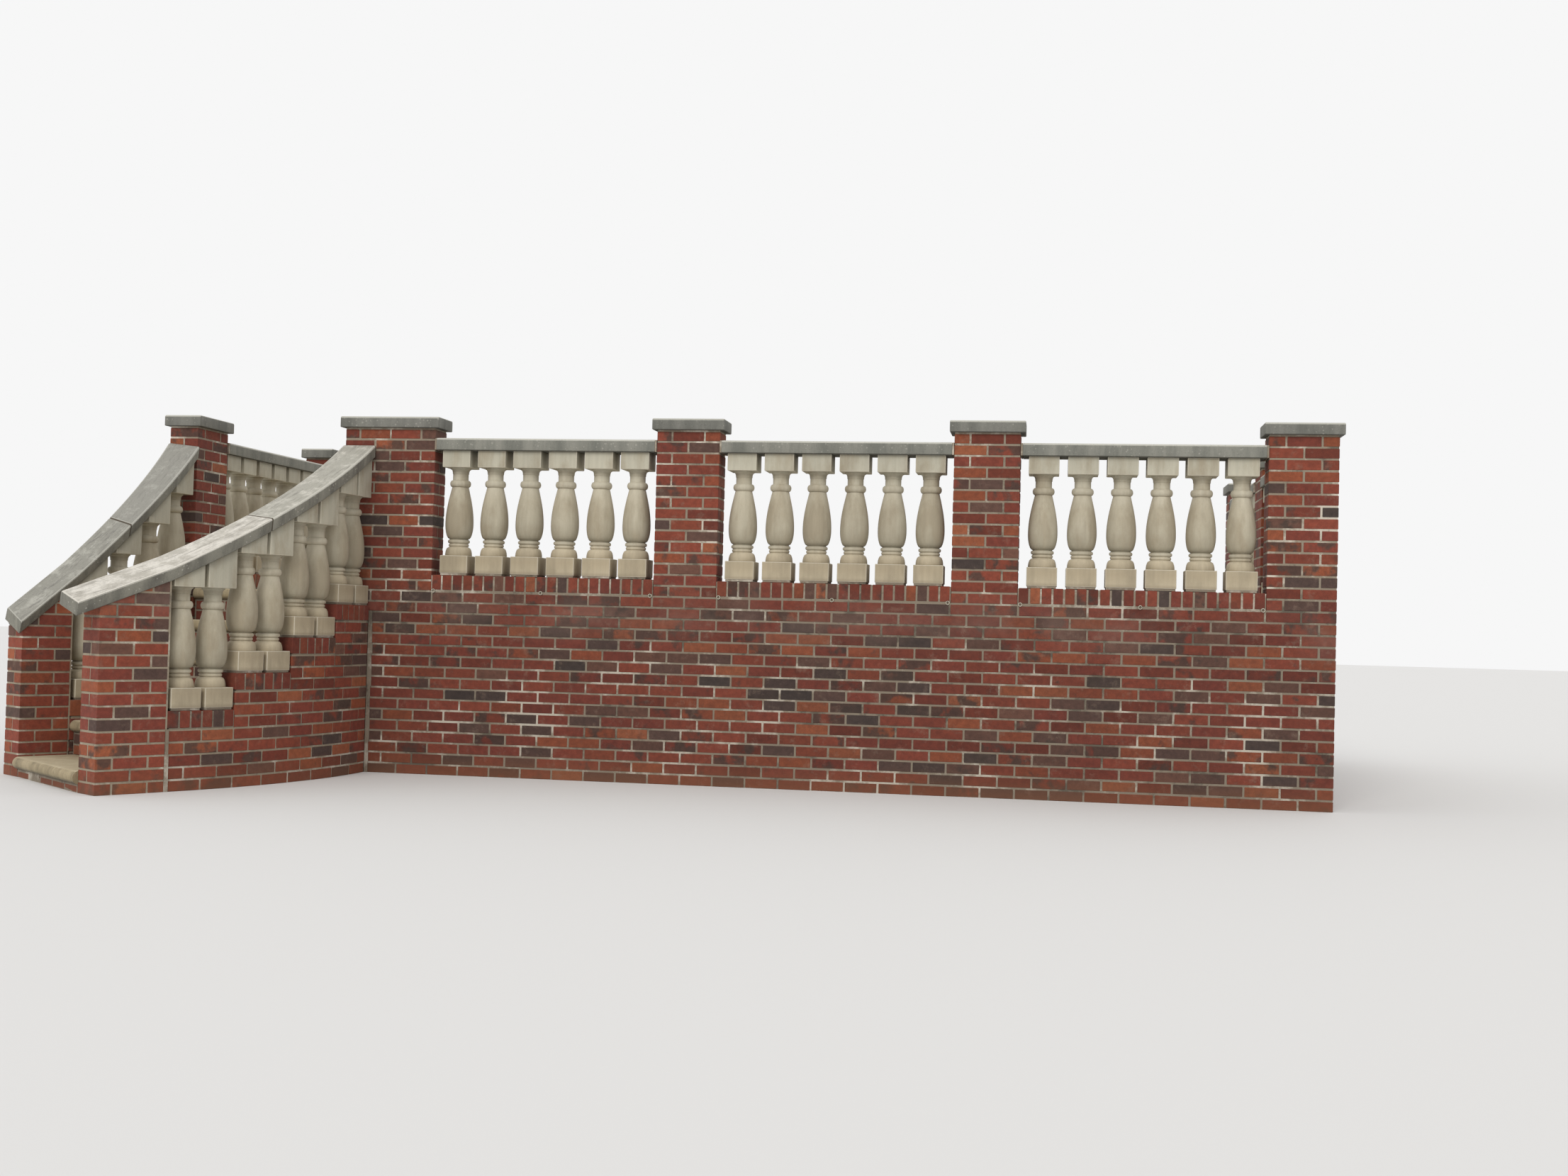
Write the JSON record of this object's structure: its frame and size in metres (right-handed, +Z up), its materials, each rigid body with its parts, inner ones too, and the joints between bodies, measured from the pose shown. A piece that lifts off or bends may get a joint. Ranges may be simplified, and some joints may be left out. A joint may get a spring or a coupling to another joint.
{
  "type": "stone balustrade",
  "caption": "Stone balustrade with turned balusters, rails and capped brick piers round a raised brick terrace, with a curved stair between stepped cheeks.",
  "frame": {"origin": "underside of the front wall, at the middle of its length and of its thickness", "axes": "+Z up, +X along the front wall to the right as seen from outside, +Y from the front wall back towards the building"},
  "size_m": [7.705, 6.3709, 2.2424],
  "materials": {
    "brick": "wire-cut red clay brick with darker bricks among it and grey-tan mortar",
    "sill_brick": "red clay bricks on edge with grey-tan mortar",
    "coping_stone": "weathered grey limestone with dark algae under its edges",
    "handrail_stone": "weathered grey limestone, pale and pitted on top",
    "baluster_stone": "fine-grained buff cast stone",
    "tread_stone": "buff limestone, worn and stained",
    "paving": "sawn limestone paving",
    "weep_plastic": "aged pale plastic"
  },
  "bodies": {
    "root": {"front_base_wall": "brick", "left_base_wall": "brick", "right_base_wall": "brick", "corner_pier": "brick", "front_pier_2": "brick", "front_pier_3": "brick", "front_pier_4": "brick", "stair_pier": "brick", "left_piers": "brick", "right_piers": "brick", "front_caps": "coping_stone", "left_caps": "coping_stone", "right_caps": "coping_stone", "front_sill_1": "sill_brick", "front_sill_2": "sill_brick", "front_sill_3": "sill_brick", "left_sills": "sill_brick", "right_sills": "sill_brick", "front_rail_1": "coping_stone", "front_rail_2": "coping_stone", "front_rail_3": "coping_stone", "left_rails": "coping_stone", "right_rails": "coping_stone", "front_balusters_1": "baluster_stone", "front_balusters_2": "baluster_stone", "front_balusters_3": "baluster_stone", "left_balusters": "baluster_stone", "right_balusters": "baluster_stone", "near_cheek": "brick", "far_cheek": "brick", "near_newel": "brick", "far_newel": "brick", "near_step_sills": "sill_brick", "far_step_sills": "sill_brick", "near_handrail_upper": "handrail_stone", "near_handrail_lower": "handrail_stone", "far_handrail_upper": "handrail_stone", "far_handrail_lower": "handrail_stone", "near_stair_balusters": "baluster_stone", "far_stair_balusters": "baluster_stone", "treads": "tread_stone", "stair_core": "brick", "foot_step_base": "brick", "landing_base": "brick", "terrace_floor": "paving", "weep_tubes": "weep_plastic"}
  },
  "joints": []
}
